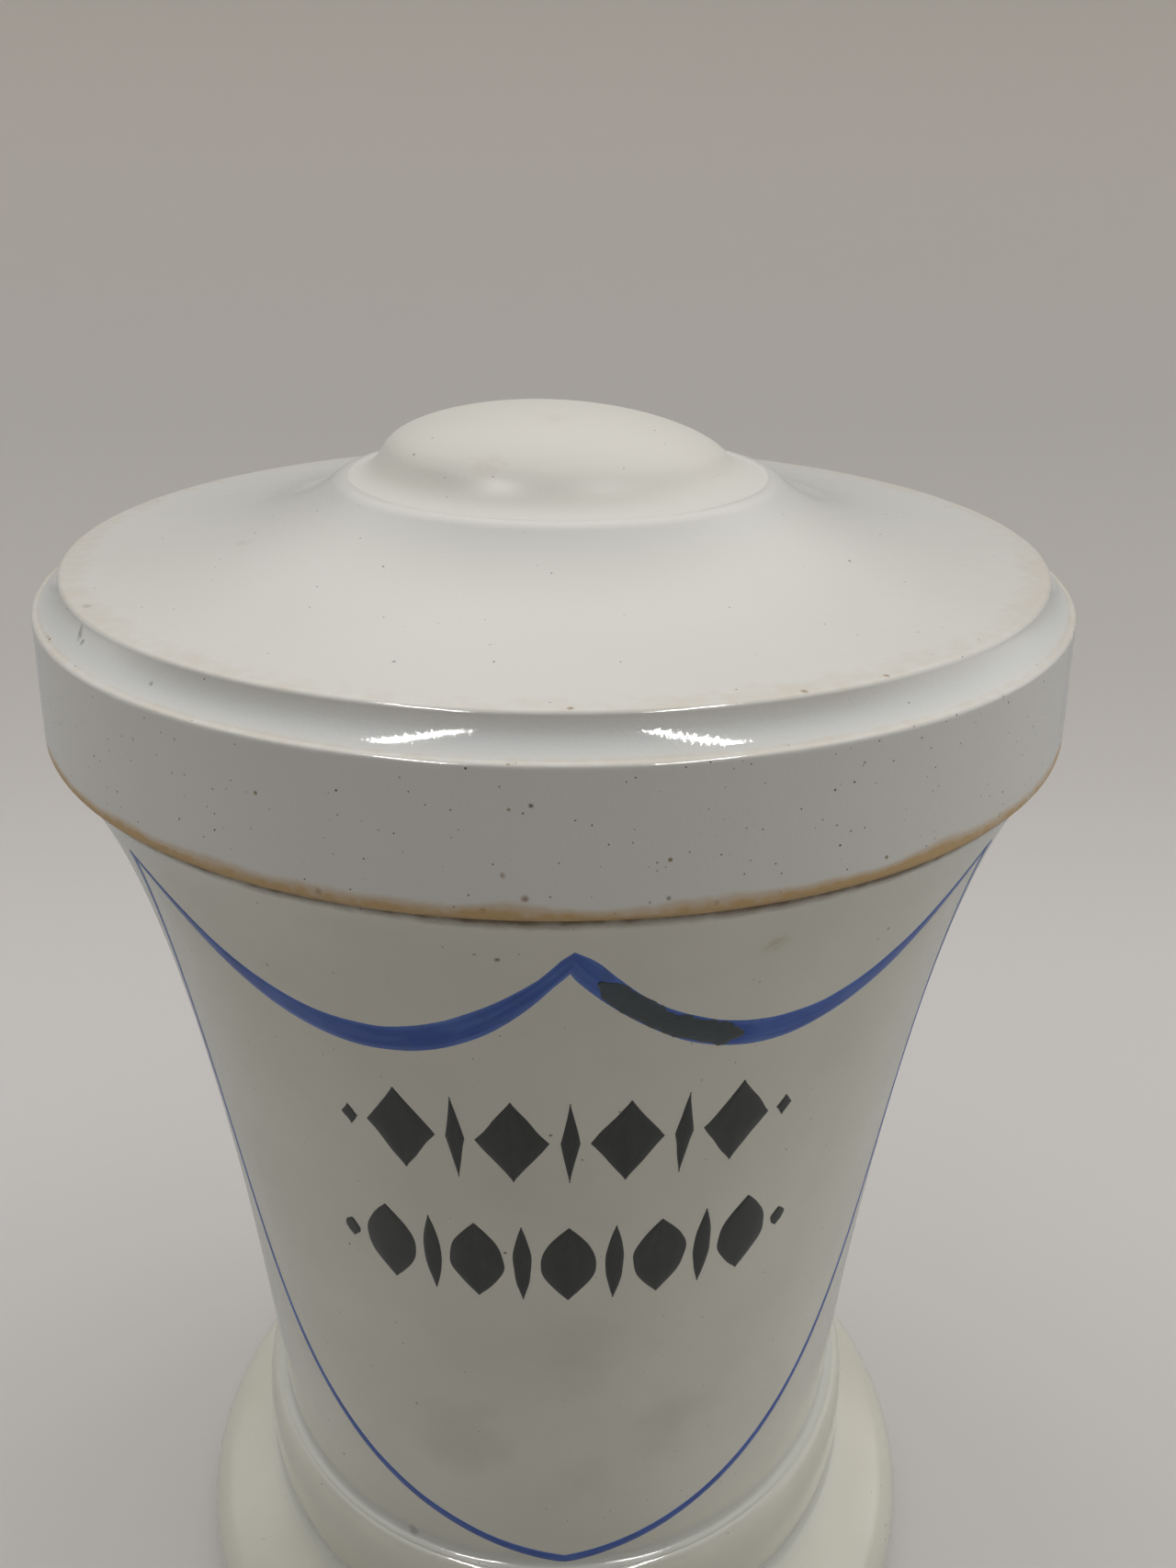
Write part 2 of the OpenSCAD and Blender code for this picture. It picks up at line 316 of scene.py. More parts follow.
body_line = soften(body_line, rim_out, 1.6)
body_line = soften(body_line, rim_in, 1.6)
body_line = soften(body_line, floor_corner, floor_round, 14)

jar_body = turned("turned_body", body_line, jar_wander)

# %% [markdown]
# ## The foot
#
# The foot is a bell with a full bead round its top, turned as a separate piece and luted on. It
# is hollow, so that it fires evenly, and stands on a narrow ring that was wiped clean of glaze.
# The crease under the bead is softened, because glaze runs into it and stays there.

# %% Foot outline
bead_side = []
BEAD_STEPS = 44
BEAD_TURN = math.radians(150)
for i in range(BEAD_STEPS + 1):
    turn = BEAD_TURN * (i / BEAD_STEPS) ** 1.5
    bead_side.append((waist_r + bead_out * math.sqrt(math.sin(turn)),
                      foot_top - bead_h * (1 - math.cos(turn)) / 2))
bead_end = bead_side[-1]
bell_h = bead_end[1] - foot_edge_h
bell_w = foot_r - bead_end[0]
bell_side = cubic([
    bead_end,
    (bead_end[0] + 0.24 * bell_w, bead_end[1] - 0.31 * bell_h),
    (foot_r, foot_edge_h + 0.62 * bell_h),
    (foot_r, foot_edge_h)], 40)
edge_side = []
for i in range(1, 13):
    turn = math.pi / 2 * i / 12
    edge_side.append((foot_r - foot_draw * (1 - math.cos(turn)), foot_edge_h * (1 - math.sin(turn))))
ring_out = edge_side[-1]
ring_in = (ring_out[0] - ring_w, 0.0)
hollow_top = (waist_r - foot_t, foot_top)
hollow_side = cubic([
    ring_in,
    (ring_in[0], 0.37 * foot_top),
    (hollow_top[0] + 0.14 * (ring_in[0] - hollow_top[0]), 0.43 * foot_top),
    hollow_top], 30)
foot_line = bead_side + bell_side[1:] + edge_side + hollow_side
foot_line = soften(foot_line, bead_end, 1.4, 12)
foot_line = soften(foot_line, ring_out, 0.7)
foot_line = soften(foot_line, ring_in, 0.7)
foot_line = foot_line[::-1]

jar_foot = turned("turned_foot", foot_line, jar_wander, closed=True)

# %% [markdown]
# ## The lid's cover
#
# The cover is a shallow dish upside down: a plate that sweeps up to the knob's seat, a narrow
# arris, a shallow cove, a second arris and a straight skirt. The skirt's lower edge rests on the
# jar's shoulder, so it was wiped before the firing: it is bare clay, and it has gone brown.

# %% Cover outline
plate_side = cubic([
    (seat_r, seat_z),
    (seat_r + 0.19 * (plate_r - seat_r), plate_z + 0.35 * (seat_z - plate_z)),
    (seat_r + 0.44 * (plate_r - seat_r), plate_z + 0.11 * (seat_z - plate_z)),
    (plate_r, plate_z)], 70)
top_arris = (plate_r, plate_z)
cove_top = (plate_r + 0.08, plate_z - 0.42)
low_arris = (arris_r, arris_z)
cove_low = (arris_r - 0.55, arris_z - 0.02)
cove_line = []
COVE_STEPS = 26
chord = (cove_low[0] - cove_top[0], cove_low[1] - cove_top[1])
inward = (chord[1] / math.hypot(*chord), -chord[0] / math.hypot(*chord))
for i in range(COVE_STEPS + 1):
    t = i / COVE_STEPS
    sink = 4 * cove_sag * t * (1 - t)
    cove_line.append((cove_top[0] + t * chord[0] + sink * inward[0],
                      cove_top[1] + t * chord[1] + sink * inward[1]))
skirt_in = skirt_r - skirt_t
ceiling_z = plate_z - plate_t
skirt_out_edge = (skirt_r, shoulder_z)
skirt_in_edge = (skirt_in, shoulder_z)
ceiling_corner = (skirt_in, ceiling_z)
skirt_side = cubic([
    low_arris,
    (arris_r + 0.12, arris_z - 4.4),
    (skirt_r - 0.12, shoulder_z + 5.0),
    skirt_out_edge], 30)
cover_line = ([(0, seat_z), (0.6 * seat_r, seat_z)] + plate_side + cove_line + skirt_side
              + [skirt_in_edge, ceiling_corner, (0.7 * skirt_in, ceiling_z + 1.1),
                 (seat_r, seat_z - plate_t), (0, seat_z - plate_t)])
cover_line = soften(cover_line, (seat_r, seat_z), 0.98, 12)
cover_line = soften(cover_line, top_arris, 0.45)
cover_line = soften(cover_line, low_arris, 0.5, 10)
cover_line = soften(cover_line, skirt_out_edge, 0.75, 10)
cover_line = soften(cover_line, skirt_in_edge, 0.75)
cover_line = soften(cover_line, ceiling_corner, 3.0)
cover_line = cover_line[::-1]

lid_cover = turned("turned_cover", cover_line, lid_wander)

# %% [markdown]
# ## The knob
#
# The knob is a low button with a flat dome, pressed on to the seat by hand. It went on a little
# crooked, lower on the right, so its dome leans while its base stays flat on the plate.

# %% Knob outline
base_side = cubic([
    (knob_r + 0.4, seat_z - 0.05),
    (knob_r - 0.5 * (knob_r - dome_r), seat_z + 0.06 * knob_base_h),
    (dome_r + 0.3 * (knob_r - dome_r), seat_z + 0.42 * knob_base_h),
    (dome_r, seat_z + knob_base_h)], 24)
dome_foot = (dome_r, seat_z + knob_base_h)
dome_h = knob_top - dome_foot[1]
dome_side = cubic([
    dome_foot,
    (0.84 * dome_r, dome_foot[1] + 0.63 * dome_h),
    (0.38 * dome_r, knob_top),
    (0, knob_top)], 44)
knob_line = ([(0, seat_z), (0.5 * knob_r, seat_z), (knob_r - 0.15, seat_z - 0.02)]
             + base_side + dome_side[1:])
knob_line = soften(knob_line, dome_foot, 0.9, 8)
KNOB_LEAN = math.tan(math.radians(2.3))


def knob_lean(x, height):
    """The dome leans to the right. The lean fades out towards the base."""
    return -KNOB_LEAN * x * smooth(seat_z + 0.2, seat_z + knob_base_h, height)


lid_knob = turned("turned_knob", knob_line, lid_wander, lean=knob_lean)

# %% [markdown]
# ## Masks for glaze, wear and painted shade
#
# `pool` is where the glaze lies thick: the cove, the creases and the neck's foot. `bare` is clay
# without glaze: the skirt's lower edge and the standing ring. `soil_and_shade` is the brown that years
# of handling leave next to bare clay and along the arrises, and on the jar's body it is also painted
# shade: a dark band just under the lid's rim.

# %% Paint the masks
RIM_FROM = 0.9 * plate_r


def cover_pool(angle, radius, height):
    outside = 1 if radius > RIM_FROM else 0
    cove = hill(plate_z - 0.66 * cove_h, 0.45 * cove_h, height) * outside
    knob_seat = 0.15 * hill(seat_r + 1.6, 2.6, radius) * smooth(ceiling_z, seat_z, height)
    return max(0.8 * cove, knob_seat)


def cover_bare(angle, radius, height):
    return smooth(shoulder_z + 0.62, shoulder_z + 0.30, height)


def cover_soil(angle, radius, height):
    ragged = 0.35 * noise.noise(Vector((9 * math.sin(angle), 9 * math.cos(angle), 1.5)))
    edge = smooth(shoulder_z + 2.3 + 2.2 * ragged, shoulder_z + 0.6, height)
    outside = 1 if radius > RIM_FROM else 0
    arrises = max(hill(plate_z, 0.5, height), hill(arris_z, 0.6, height)) * outside
    return max(edge, 0.35 * arrises)


def body_pool(angle, radius, height):
    return max(hill(foot_top + 0.4, 2.2, height), 0.6 * hill(shoulder_z, 1.2, height))


def foot_pool(angle, radius, height):
    return max(hill(bead_end[1], 2.4, height), 0.5 * hill(foot_top, 1.0, height))


def foot_bare(angle, radius, height):
    return smooth(0.75, 0.35, height)


def foot_soil(angle, radius, height):
    return max(smooth(2.0, 0.3, height), 0.25 * hill(bead_end[1], 1.6, height))


def none(angle, radius, height):
    return 0.0


# Painted shade: a dark band on the body just under the lid's rim, where the skirt meets the shoulder,
# and a faint dark line at the joint with the foot.
def body_dirt_and_lid_shadow(angle, radius, height):
    under_lid = hill(shoulder_z, 2.3, height) * smooth(neck_r, shoulder_r - 2, radius)
    return max(0.25 * hill(foot_top + 0.3, 1.2, height), under_lid)


def knob_pool(angle, radius, height):
    return 0.15 * smooth(seat_z + 1.2, seat_z + 0.2, height)


def cover_freckle(angle, radius, height):
    return 0.10 + 0.90 * smooth(arris_z + 0.4, arris_z - 0.8, height)


def few(angle, radius, height):
    return 0.12


for piece, pool, bare, soil_and_shade, freckle in (
        (lid_cover, cover_pool, cover_bare, cover_soil, cover_freckle),
        (lid_knob, knob_pool, none, none, few),
        (jar_body, body_pool, none, body_dirt_and_lid_shadow, few),
        (jar_foot, foot_pool, foot_bare, foot_soil, few)):
    paint(piece, "pool", pool)
    paint(piece, "bare", bare)
    paint(piece, "soil_and_shade", soil_and_shade)
    paint(piece, "freckle", freckle)
    print("masks on", piece.name)

# %% [markdown]
# ## Enamel on the body
#
# The shield line and the label are enamel: glass powder and metal oxide in oil, brushed on the
# finished glaze and fired again. It stands a few hundredths of a millimetre proud. Each stroke is
# a thin closed strip that follows the body, hand turning included, with its edges let into the
# glaze, so that it has a real thickness and catches the light.

# %% Places on the body's surface
SHIELD_TURN = 1.5


def mm_per_degree(height):
    return body_r(height) * math.pi / 180


def on_body(place, proud):
    """The point proud mm above the glaze, at a place of (degrees from the front, height)."""
    angle = math.radians(place[0] + SHIELD_TURN)
    r = body_r(place[1]) + jar_wander(angle, place[1]) + proud
    return Vector((r * math.sin(angle), -r * math.cos(angle), place[1])) * MM


def heading(a, b):
    """The direction from place a to place b along the surface, as a unit vector."""
    step = Vector(((b[0] - a[0]) * mm_per_degree(a[1]), b[1] - a[1]))
    return step.normalized()


def beside(place, into, out, offset):
    """The place that lies offset mm to the left of a line that turns here from into to out."""
    middle = (into + out).normalized()
    reach = offset / max(middle.dot(into), 0.95)
    return (place[0] - reach * middle.y / mm_per_degree(place[1]), place[1] + reach * middle.x)


# %% Brush a stroke
ENAMEL = 0.07
BITE = 0.05
ACROSS = (-1.0, -0.86, -0.5, 0.0, 0.5, 0.86, 1.0)
PROFILE = (-0.03, 0.55, 0.85, 1.0, 0.85, 0.55, -0.03)


def strokes(name, lines, proud=ENAMEL):
    """One piece of enamel. Each line is (places, half widths, closed)."""
    points = []
    faces = []
    brush = []
    for places, halves, closed in lines:
        first = len(points)
        count = len(places)
        gone = 0.0
        for i in range(count):
            before = places[i - 1] if closed or i else None
            after = places[(i + 1) % count] if closed or i < count - 1 else None
            into = heading(before, places[i]) if before else heading(places[i], after)
            out = heading(places[i], after) if after else into
            edge = [beside(places[i], into, out, halves[i] * s) for s in ACROSS]
            top = [on_body(p, proud * h if h > 0 else h) for p, h in zip(edge, PROFILE)]
            under = [on_body(p, -BITE) for p in reversed(edge[1:-1])]
            points += top + under
            brush += [(gone, s, halves[i]) for s in ACROSS + tuple(reversed(ACROSS[1:-1]))]
            if after:
                gone += math.hypot((after[0] - places[i][0]) * mm_per_degree(places[i][1]),
                                   after[1] - places[i][1])
        ring = len(ACROSS) + len(ACROSS) - 2
        for i in range(count if closed else count - 1):
            a = first + i * ring
            b = first + (i + 1) % count * ring
            for k in range(ring):
                faces.append((a + k, b + k, b + (k + 1) % ring, a + (k + 1) % ring))
        if not closed:
            faces.append(tuple(first + k for k in range(ring)))
            faces.append(tuple(first + (count - 1) * ring + k for k in reversed(range(ring))))
    mesh = bpy.data.meshes.new(name)
    mesh.from_pydata(points, [], faces)
    mesh.validate()
    mesh.shade_smooth()
    mesh.set_sharp_from_angle(angle=math.radians(60))
    layer = mesh.attributes.new("brush", "FLOAT_VECTOR", "POINT")
    layer.data.foreach_set("vector", [x for place in brush for x in place])
    piece = bpy.data.objects.new(name, mesh)
    bpy.context.scene.collection.objects.link(piece)
    print(f"{name}: {len(lines)} strokes, {len(faces)} faces")
    return piece


# %% [markdown]
# ## The blue shield line
#
# One closed line hangs under the shoulder in two swags and comes to a point over the foot. The
# painter pressed hardest under each swag, so the line swells there, and lifted the brush along
# the sides, where it is a thread. The right swag was gone over later, so it starts nearly full at
# the cusp. The hand's small errors are a slow drift in width and place.

# %% Shield line
cusp = (0.0, shoulder_z - 5.4)
corner = (52.0, shoulder_z - 5.8)
low_point = (0.0, foot_top + 1.2)
swag_sag = 12.3
side_drop = corner[1] - low_point[1]
line_thin = 0.9
line_thick = 3.3
SWAG_STEPS = 80
SIDE_STEPS = 130
swag_curve = [
    cusp,
    (0.21 * corner[0], cusp[1] - 1.17 * swag_sag),
    (0.58 * corner[0], cusp[1] - 1.5 * swag_sag),
    corner]
side_curve = [
    corner,
    (1.38 * corner[0], corner[1] - 0.39 * side_drop),
    (1.29 * corner[0], corner[1] - 0.88 * side_drop),
    low_point]
right_half = cubic(swag_curve, SWAG_STEPS) + cubic(side_curve, SIDE_STEPS)[1:]


def swag_half(t):
    swell = math.sin(math.pi * t ** 0.8) ** 1.2 if t < 1 else 0
    return max(line_thin + (line_thick - line_thin) * swell, 2 * line_thin * (1 - t)) / 2


def repainted_half(t):
    """The right swag was gone over near the cusp, so it starts almost at its full width."""
    return max(swag_half(t), 1.5 * smooth(-0.08, 0.05, t) * smooth(0.55, 0.35, t))


def side_half(t):
    return line_thin * (1 + 0.55 * t ** 3) / 2


side_widths = [side_half(i / SIDE_STEPS) for i in range(1, SIDE_STEPS + 1)]
left_widths = [swag_half(i / SWAG_STEPS) for i in range(SWAG_STEPS + 1)] + side_widths
right_widths = [repainted_half(i / SWAG_STEPS) for i in range(SWAG_STEPS + 1)] + side_widths
left_half = [(-a, z) for a, z in right_half[-2:0:-1]]
shield = right_half + left_half
shield_widths = right_widths + left_widths[-2:0:-1]


def by_hand(places, halves, seed, shake=0.09, press=0.1):
    """The same line as a hand draws it: its place and its width drift a little."""
    drawn = []
    widths = []
    count = len(places)
    for i in range(count):
        turn = 2 * math.pi * i / count
        slow = Vector((3.1 * math.sin(turn), 3.1 * math.cos(turn), seed))
        fast = Vector((11 * math.sin(turn), 11 * math.cos(turn), seed + 7))
        shift = shake * (noise.noise(slow) + 0.35 * noise.noise(fast))
        drawn.append((places[i][0] + shift / mm_per_degree(places[i][1]), places[i][1] + shift))
        widths.append(halves[i] * (1 + press * (noise.noise(slow * 1.7) + 0.5 * noise.noise(fast))))
    return drawn, widths


shield_drawn, shield_pressed = by_hand(shield, shield_widths, seed=2.0)
cartouche_line = strokes("shield_line", [(shield_drawn, shield_pressed, True)])

# %% [markdown]
# ## The retouched patch
#
# Someone painted over worn enamel on the right swag with a dark greenish paint. It is thicker
# than the line, its edges are ragged, and it is narrower, so blue shows along both of its edges.

# %% Retouched patch
PATCH_FROM = 0.07
PATCH_TO = 0.44
PATCH_STEPS = 60
patch_w = 2.5
patch_places = cubic(swag_curve, PATCH_STEPS, PATCH_FROM, PATCH_TO)
patch_halves = []
patch_drawn = []
for i, place in enumerate(patch_places):
    t = i / PATCH_STEPS
    ends = min(1, 0.25 + 7 * min(t, 1 - t))
    ragged = noise.noise(Vector((t * 9, 3.3, 0.5))) + 0.7 * noise.noise(Vector((t * 27, 1.3, 0.5)))
    patch_halves.append(patch_w / 2 * ends * (1 + 0.20 * ragged + 0.14 * t))
    lift = 0.35 * noise.noise(Vector((t * 5, 8.1, 2.5))) + 0.15 * noise.noise(Vector((t * 22, 5.1, 2)))
    patch_drawn.append((place[0], place[1] + lift))
cartouche_retouch = strokes("retouched_patch", [(patch_drawn, patch_halves, False)],
                            proud=2.2 * ENAMEL)

# %% [markdown]
# ## The label's two rows
#
# The real jar names its contents in two rows of black letters. A plain ornament takes their
# place, with the same height, blackness and spacing: lozenges above and leaves below, with slim
# strokes between them. Each motif is one upright stroke, as high as the row and widest at its waist.

# %% Label rows
MOTIF_STEPS = 34
motif_h = 11.0


def motif(angle, height, width, tall, edge, seed):
    """An upright stroke, widest at its waist. Its sides are straight at edge 1, and bulge above 1."""
    places = []
    halves = []
    for i in range(MOTIF_STEPS + 1):
        t = i / MOTIF_STEPS
        shake = 0.10 * noise.noise(Vector((2.5 * t, seed, 1)))
        places.append((angle + shake / mm_per_degree(height), height + tall * (t - 0.5)))
        full = 1 - abs(2 * t - 1) ** edge
        press = 1 + 0.10 * noise.noise(Vector((4 * t, seed, 4)))
        halves.append(max(0.06, full * width / 2 * press))
    return places, halves, False


def label_row(height, count, wide, slim, gap, edge, seed):
    """Wide motifs with a slim one between each two, and a small one at each end."""
    pitch = (wide + slim + 2 * gap) / mm_per_degree(height)
    start = -pitch * (count - 1) / 2
    row = [motif(start + i * pitch, height, wide, motif_h, edge, seed + i) for i in range(count)]
    row += [motif(start + (i + 0.5) * pitch, height, slim, motif_h, edge, seed + 20 + i)
            for i in range(count - 1)]
    row += [motif(side * pitch * count / 2, height, slim, motif_h / 4, edge, seed + 40 + side)
            for side in (-1, 1)]
    return row


label_upper = strokes("label_upper", label_row(shoulder_z - 29.7, 4, 7.6, 2.0, 0.7, 1, 1.0))
label_lower = strokes("label_lower", label_row(shoulder_z - 47.4, 5, 6.0, 2.0, 0.7, 2, 60.0))

# %% [markdown]
# ## Two helpers for materials
#
# Colours are written as sRGB hex values, the way a paint chart gives them, and turned to linear
# light by one function. Another function adds a node with its settings and its links, so that a
# material reads as a list of what lies on what.

# %% Colour and node helpers
def linear(hex_colour):
    """Linear RGBA from an sRGB hex value such as '#ddd9cc'."""
    channels = [int(hex_colour[i:i + 2], 16) / 255 for i in (1, 3, 5)]
    return tuple(c / 12.92 if c <= 0.04045 else ((c + 0.055) / 1.055) ** 2.4 for c in channels) + (1.0,)


def add(tree, kind, inputs=None, output=0, **settings):
    """Adds a node, sets its options and inputs, and returns one of its outputs, if it has any."""
    node = tree.nodes.new("ShaderNode" + kind)
    for name, value in settings.items():
        setattr(node, name, value)
    for key, value in (inputs or {}).items():
        if isinstance(value, bpy.types.NodeSocket):
            tree.links.new(value, node.inputs[key])
        else:
            node.inputs[key].default_value = value
    return node.outputs[output] if len(node.outputs) else None


def per_mm(size):
    """A texture scale for a pattern that repeats about every size mm, in a frame of metres."""
    return 1 / (size * MM)


def new_material(name):
    material = bpy.data.materials.new(name)
    material.use_nodes = True
    material.node_tree.nodes.clear()
    return material, material.node_tree


FACTOR, COLOUR_A, COLOUR_B, MIXED = 0, 6, 7, 2

# %% [markdown]
# ## Glazed porcelain
#
# Hard-paste porcelain is an off-white, slightly translucent body under a clear feldspar glaze. The
# glaze gives a sharp reflection, a little wavy from the dipping, over a soft matt white. Iron in
# the clay shows as specks a fifth to nearly half a millimetre across, and where the glaze pools
# it turns grey. The index of a feldspar glaze is about 1.5, and its roughness is very low. Hands
# have dulled the glaze on the knob, so the knob gets a rougher one of its own.

# %% Specks of iron
def speckle(tree, place, freckle, size, share, seed):
    """A mask of specks of that radius in mm, on a share of the cells, which are 7 radii wide."""
    moved = add(tree, "VectorMath", {0: place, 1: (seed, 0.3 * seed, 0.7 * seed)}, operation="ADD")
    voronoi = {"Vector": moved, "Scale": per_mm(7 * size), "Randomness": 1.0}
    near = add(tree, "TexVoronoi", voronoi, "Distance")
    cell = add(tree, "TexVoronoi", voronoi, "Color")
    spot = add(tree, "MapRange", {0: near, 1: 0.15, 2: 0.08, 3: 0.0, 4: 1.0})
    pick = add(tree, "SeparateColor", {0: cell}, "Red")
    wanted = add(tree, "Math", {0: freckle, 1: share}, operation="MULTIPLY")
    chosen = add(tree, "Math", {0: pick, 1: wanted}, operation="LESS_THAN")
    return add(tree, "Math", {0: spot, 1: chosen}, operation="MULTIPLY")


# %% Single marks
BROAD_MARK = 5


def marked(tree, place, colour, marks):
    """Lays single marks on a colour: (degrees, radius, height, width in mm, shade, strength)."""
    fine = add(tree, "TexNoise", {"Vector": place, "Scale": per_mm(0.9), "Detail": 3.0}, "Fac")
    broad = add(tree, "TexNoise", {"Vector": place, "Scale": per_mm(7.0), "Detail": 2.0}, "Fac")
    for degrees, radius, height, width, shade, strength in marks:
        angle = math.radians(degrees)
        at = Vector((radius * math.sin(angle), -radius * math.cos(angle), height)) * MM
        away = add(tree, "VectorMath", {0: place, 1: at}, "Value", operation="DISTANCE")
        ragged = broad if width > BROAD_MARK else fine
        reach = add(tree, "Math", {0: ragged, 1: 0.9 * width * MM, 2: away}, operation="MULTIPLY_ADD")
        core = 0.0 if width > BROAD_MARK else 0.55
        mask = add(tree, "MapRange", {0: reach, 1: width * MM, 2: core * width * MM,
                                      3: 0.0, 4: strength})
        colour = add(tree, "Mix", {FACTOR: mask, COLOUR_A: colour, COLOUR_B: linear(shade)},
                     MIXED, data_type="RGBA")
    return colour


# %% Glazed porcelain
GLAZE_IOR = 1.5
GLAZE_WAVE = 0.02
GLAZE_PIT = 0.014
POOLED_SHARE = 0.75


def porcelain(name, clay, thick_glaze, mottle, dirt_and_shade, gloss, marks):
    """Clear glaze over clay: thick_glaze shows in the pools, and gloss is the clean roughness."""
    material, tree = new_material(name)
    place = add(tree, "TexCoord", output="Object")

    clouds = add(tree, "TexNoise", {"Vector": place, "Scale": per_mm(22), "Detail": 3.0}, "Fac")
    cloudy = add(tree, "MapRange", {0: clouds, 1: 0.35, 2: 0.7, 3: 0.0, 4: mottle})
    colour = add(tree, "Mix", {FACTOR: cloudy, COLOUR_A: linear(clay), COLOUR_B: linear("#b9b8a6")},
                 MIXED, data_type="RGBA")

    pool = add(tree, "Attribute", output="Fac", attribute_name="pool")
    pooled = add(tree, "Math", {0: pool, 1: POOLED_SHARE}, operation="MULTIPLY")
    colour = add(tree, "Mix", {FACTOR: pooled, COLOUR_A: colour, COLOUR_B: linear(thick_glaze)},
                 MIXED, data_type="RGBA")

    # Real specks go down to a few hundredths of a millimetre. Those are too fine to show from
    # arm's length, so these start at a radius of 0.09 mm.
    freckle = add(tree, "Attribute", output="Fac", attribute_name="freckle")
    for size, share, shade, seed in ((0.09, 0.20, "#55524c", 0.0),
                                     (0.12, 0.08, "#3c3936", 0.4),
                                     (0.22, 0.05, "#8f8468", 0.9)):
        specks = speckle(tree, place, freckle, size, share, seed)
        colour = add(tree, "Mix", {FACTOR: specks, COLOUR_A: colour, COLOUR_B: linear(shade)},
                     MIXED, data_type="RGBA")

    colour = marked(tree, place, colour, marks)

    # This mask lays brown grime on the lid and the foot, and on the body it also lays painted shade
    # under the lid's rim.
    soil_and_shade = add(tree, "Attribute", output="Fac", attribute_name="soil_and_shade")
    grain = add(tree, "TexNoise", {"Vector": place, "Scale": per_mm(1.6), "Detail": 4.0}, "Fac")
    patchy = add(tree, "TexNoise", {"Vector": place, "Scale": per_mm(14), "Detail": 2.0}, "Fac")
    uneven = add(tree, "Math", {0: grain, 1: patchy}, operation="ADD")
    caught = add(tree, "Math", {0: soil_and_shade, 1: uneven}, operation="MULTIPLY")
    soiled_and_shaded = add(tree, "MapRange", {0: caught, 1: 0.25, 2: 1.0, 3: 0.0, 4: 0.95})
    colour = add(tree, "Mix", {FACTOR: soiled_and_shaded, COLOUR_A: colour, COLOUR_B: linear(dirt_and_shade)},
                 MIXED, data_type="RGBA")

    bare = add(tree, "Attribute", output="Fac", attribute_name="bare")
    bare_colour = add(tree, "Mix", {FACTOR: grain, COLOUR_A: linear("#a07d48"),
                                    COLOUR_B: linear("#cfb486")}, MIXED, data_type="RGBA")
    colour = add(tree, "Mix", {FACTOR: bare, COLOUR_A: colour, COLOUR_B: bare_colour},
                 MIXED, data_type="RGBA")

    rough = add(tree, "MapRange", {0: soiled_and_shaded, 1: 0.0, 2: 1.0, 3: gloss, 4: 0.45})
    rough = add(tree, "MapRange", {0: bare, 1: 0.0, 2: 1.0, 3: rough, 4: 0.75})

    # The dipped glaze waves over a few mm, and pinholes and dust break it every 0.4 mm.
    waves = add(tree, "TexNoise", {"Vector": place, "Scale": per_mm(5.0), "Detail": 1.0}, "Fac")
    pits = add(tree, "TexNoise", {"Vector": place, "Scale": per_mm(0.4), "Detail": 2.0}, "Fac")
    wavy = add(tree, "Bump", {"Height": waves, "Strength": 1.0, "Distance": GLAZE_WAVE * MM})
    pitted = add(tree, "Bump", {"Height": pits, "Strength": 1.0, "Distance": GLAZE_PIT * MM,
                                "Normal": wavy})

    surface = add(tree, "BsdfPrincipled", {
        "Base Color": colour, "Roughness": rough, "Normal": pitted, "IOR": GLAZE_IOR,
        "Metallic": 0.0})
    add(tree, "OutputMaterial", {"Surface": surface})
    return material


# %% [markdown]
# ## Flaws and stains
#
# What sets one old jar apart from the next is a handful of single marks: a green flaw in the glaze
# of the cove, brown dots where it broke along an arris, faint grey stains low on the body. Each row
# is one mark: degrees from the front, radius, height and width in mm, shade and strength.

# %% The marks and the three porcelains
GREENISH, BROWN, DARK, GREY = "#3f4a40", "#8a6d45", "#3a3632", "#a9a793"
OCHRE, RUST = "#a09a5c", "#5e4526"
knob_marks = ((-23.0, 17.0, 158.6, 4.0, BROWN, 0.10), (-5.0, 6.0, 161.8, 4.5, BROWN, 0.06))
lid_marks = (
    (-54.2, 52.7, 147.1, 1.5, GREENISH, 0.85), (-53.0, 53.0, 146.8, 0.8, GREENISH, 0.8),
    (-58.1, 50.8, 148.4, 1.3, GREENISH, 0.3), (-39.2, 53.2, 146.3, 0.5, GREENISH, 0.7),
    (-17.3, 44.7, 148.9, 0.45, DARK, 0.9), (-69.6, 34.1, 150.3, 2.4, BROWN, 0.12),
    (1.0, 51.5, 148.3, 0.6, BROWN, 0.8), (21.9, 51.5, 148.3, 0.7, BROWN, 0.8),
    (30.9, 51.5, 148.3, 0.6, BROWN, 0.7), (-4.4, 55.4, 136.1, 0.6, BROWN, 0.7),
    (-2.6, 55.5, 134.1, 0.7, BROWN, 0.8), (8.9, 55.5, 133.8, 0.5, GREENISH, 0.7),
    (-2.1, 55.1, 141.9, 0.5, DARK, 0.9), (-6.0, 55.6, 133.0, 0.6, RUST, 0.8),
    (-20.0, 55.6, 132.9, 0.8, RUST, 0.6), (13.0, 55.6, 132.9, 0.7, RUST, 0.6),
    (140.0, 40.0, 149.2, 0.5, DARK, 0.8),
    (-150.0, 55.4, 137.0, 0.6, BROWN, 0.7), (105.0, 53.0, 146.4, 0.8, GREENISH, 0.6))
